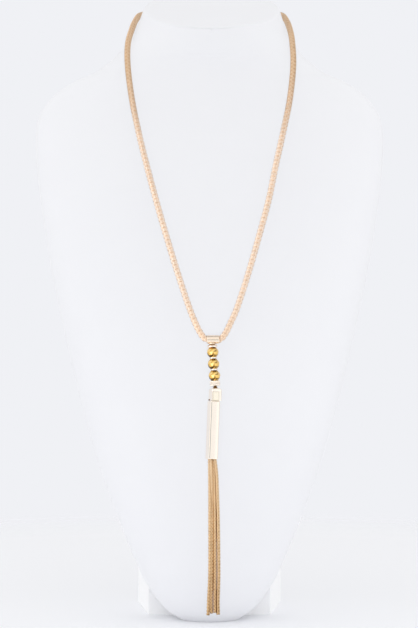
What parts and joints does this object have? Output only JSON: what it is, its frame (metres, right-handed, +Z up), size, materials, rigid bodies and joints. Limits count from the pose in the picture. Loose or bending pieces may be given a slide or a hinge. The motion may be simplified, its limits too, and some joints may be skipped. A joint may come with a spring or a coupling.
{
  "type": "drop necklace on neck bust",
  "caption": "Drop necklace: a braided mesh chain through a bail, faceted beads on a pin, a square bar and a chain tassel, on a plain neck bust with a rear foot.",
  "frame": {"origin": "on the surface that the bust stands on, at the middle of its width, near the front edge of the rear foot", "axes": "+Z up, -Y towards the viewer whom the drop faces, +X to that viewer's right"},
  "size_m": [0.2544, 0.1395, 0.4646],
  "materials": {
    "bust_cover": "white, matte, fine-grained",
    "chain_gold": "warm gold plate, woven wire",
    "pale_gold": "pale champagne gold, polished",
    "bead_gold": "yellow gold, polished facets"
  },
  "bodies": {
    "root": {"neck_bust": "bust_cover", "bust_foot": "bust_cover", "chain": "chain_gold", "clasp": "chain_gold", "bail": "pale_gold", "eye_pin": "chain_gold", "spacer_1": "pale_gold", "bead_1": "bead_gold", "spacer_2": "pale_gold", "bead_2": "bead_gold", "spacer_3": "pale_gold", "bead_3": "bead_gold", "rondelle": "pale_gold", "bar_cap": "pale_gold", "bar": "pale_gold", "tassel": "chain_gold"}
  },
  "joints": []
}
